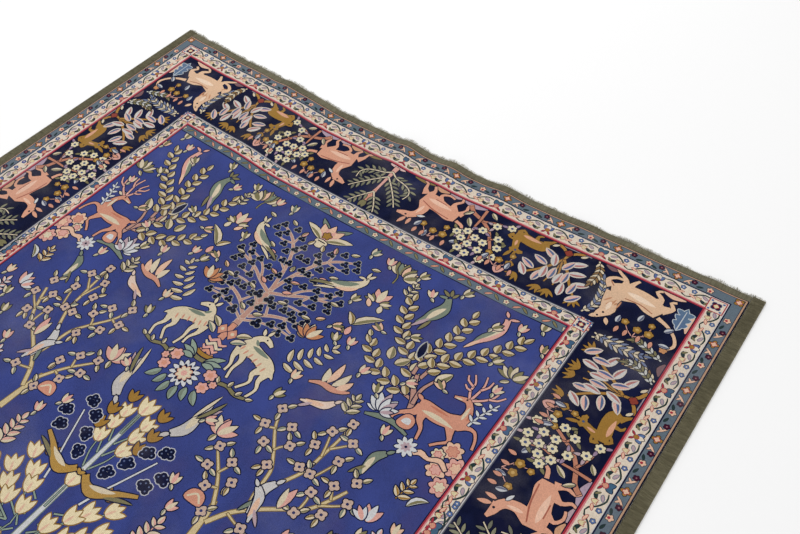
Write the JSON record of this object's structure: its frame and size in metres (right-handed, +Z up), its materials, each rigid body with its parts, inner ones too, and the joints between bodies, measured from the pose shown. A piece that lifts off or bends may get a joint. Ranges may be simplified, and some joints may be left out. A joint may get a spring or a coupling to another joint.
{
  "type": "persian rug",
  "caption": "Hand-knotted wool room rug lying flat, with a garden of trees, birds and deer, overcast sides, woven ends and a short worn fringe.",
  "frame": {"origin": "under the middle of the rug, on the floor", "axes": "+Z up off the floor, +Y along the rug towards the rippled end, +X across the rug"},
  "size_m": [2, 2.9996, 0.0187],
  "materials": {
    "wool_pile": "knotted wool pile, violet-blue and navy with many dyed colours",
    "web_wool": "flat-woven olive-grey wool",
    "binding_wool": "overcast olive-grey wool yarn",
    "warp_ends": "worn, frayed warp ends"
  },
  "bodies": {
    "root": {"pile_body": "wool_pile", "end_web_top": "web_wool", "end_web_bottom": "web_wool", "binding_left": "binding_wool", "binding_right": "binding_wool", "fringe_top": "warp_ends", "fringe_bottom": "warp_ends"}
  },
  "joints": []
}
